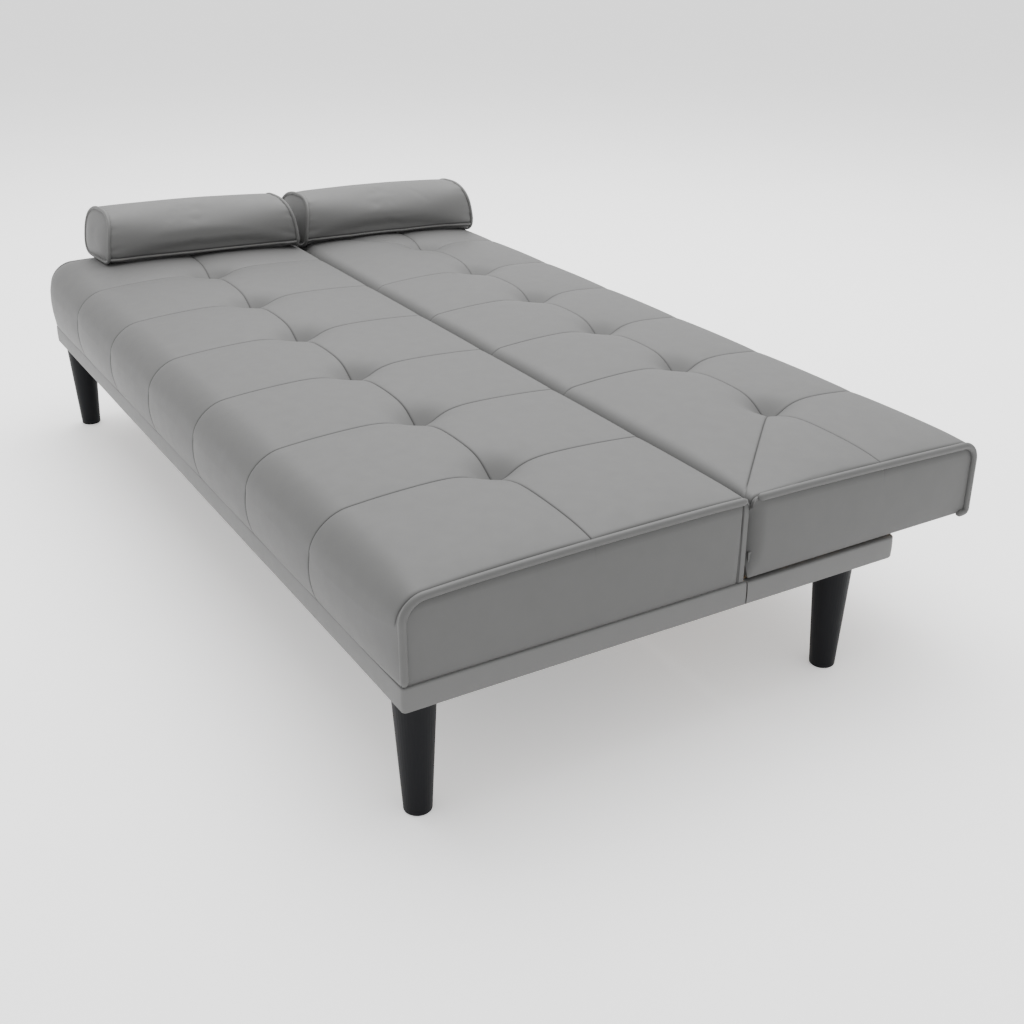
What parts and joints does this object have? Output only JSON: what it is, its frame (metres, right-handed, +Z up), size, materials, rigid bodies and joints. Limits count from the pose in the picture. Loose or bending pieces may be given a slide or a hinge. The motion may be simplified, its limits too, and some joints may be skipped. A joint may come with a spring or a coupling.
{
  "type": "futon sofa bed",
  "caption": "Click-clack futon sofa bed shown flat: tufted seat half on a legged frame, folding back half on ratchet hinges, tapered legs and loose bolster pillows.",
  "frame": {"origin": "on the floor, at the centre of the bed laid flat", "axes": "+X along the bed towards the end without pillows, +Y from the seat half towards the back half, +Z up"},
  "size_m": [1.72, 0.991, 0.4753],
  "materials": {
    "upholstery": "satin",
    "frame_wood": "matte",
    "leg_black": "satin",
    "plate_steel": "satin",
    "bright_steel": "satin",
    "bushing": "satin",
    "pad_rubber": "matte",
    "dust_cloth": "matte"
  },
  "bodies": {
    "base": {"hinge_base_plate_left": "plate_steel", "hinge_base_plate_right": "plate_steel", "hinge_pivot_left": "bright_steel", "hinge_pivot_right": "bright_steel", "leg_block_front_left": "frame_wood", "leg_block_front_right": "frame_wood", "leg_block_rear_left": "frame_wood", "leg_block_rear_right": "frame_wood", "leg_bolt_front_left": "bright_steel", "leg_bolt_front_right": "bright_steel", "leg_bolt_rear_left": "bright_steel", "leg_bolt_rear_right": "bright_steel", "leg_front_left": "leg_black", "leg_front_right": "leg_black", "leg_plate_front_left": "plate_steel", "leg_plate_front_right": "plate_steel", "leg_plate_rear_left": "plate_steel", "leg_plate_rear_right": "plate_steel", "leg_rear_left": "leg_black", "leg_rear_right": "leg_black", "pawl_pin_left": "bright_steel", "pawl_pin_right": "bright_steel", "pawl_spring_left": "bright_steel", "pawl_spring_right": "bright_steel", "rear_frame_end_left": "frame_wood", "rear_frame_end_right": "frame_wood", "rear_frame_rail": "frame_wood", "rest_pad_left": "pad_rubber", "rest_pad_right": "pad_rubber", "seat_cross_rail": "frame_wood", "seat_cushion": "upholstery", "seat_dust_cover": "dust_cloth", "seat_end_rail_left": "frame_wood", "seat_end_rail_right": "frame_wood", "seat_front_rail": "frame_wood", "seat_rear_rail": "frame_wood", "seat_slat_1": "frame_wood", "seat_slat_2": "frame_wood", "seat_slat_3": "frame_wood", "seat_slat_4": "frame_wood"},
    "back": {"back_cross_rail": "frame_wood", "back_cushion": "upholstery", "back_dust_cover": "dust_cloth", "back_end_rail_left": "frame_wood", "back_end_rail_right": "frame_wood", "back_front_rail": "frame_wood", "back_rear_rail": "frame_wood", "back_slat_1": "frame_wood", "back_slat_2": "frame_wood", "back_slat_3": "frame_wood", "back_slat_4": "frame_wood", "hinge_back_plate_left": "plate_steel", "hinge_back_plate_right": "plate_steel", "hinge_bushing_left": "bushing", "hinge_bushing_right": "bushing"},
    "pawl_left": {"pawl_left": "bright_steel"},
    "pawl_right": {"pawl_right": "bright_steel"},
    "pillow_front": {"pillow_front": "upholstery"},
    "pillow_rear": {"pillow_rear": "upholstery"}
  },
  "joints": [
    {"name": "back_fold", "type": "hinge", "parent": "base", "child": "back", "pos_m": [0, 0.092, 0.31], "axis": [1, 0, 0], "range_deg": [0, 80]},
    {"name": "pillow_front_slide", "type": "slide", "parent": "base", "child": "pillow_front", "axis": [1, 0, 0], "range_m": [0, 1.56]},
    {"name": "pillow_rear_slide", "type": "slide", "parent": "back", "child": "pillow_rear", "axis": [0, 1, 0], "range_m": [0, 0.21]},
    {"name": "pawl_left_swing", "type": "hinge", "parent": "base", "child": "pawl_left", "pos_m": [-0.8227, 0.066, 0.275], "axis": [1, 0, 0], "range_deg": [0, 15]},
    {"name": "pawl_right_swing", "type": "hinge", "parent": "base", "child": "pawl_right", "pos_m": [0.8227, 0.066, 0.275], "axis": [1, 0, 0], "range_deg": [0, 15]}
  ],
  "couplings": [
    {"joint": "pillow_rear_slide", "follows": "back_fold", "m_per_rad": 0.15},
    {"joint": "pawl_right_swing", "follows": "pawl_left_swing", "ratio": 1}
  ]
}
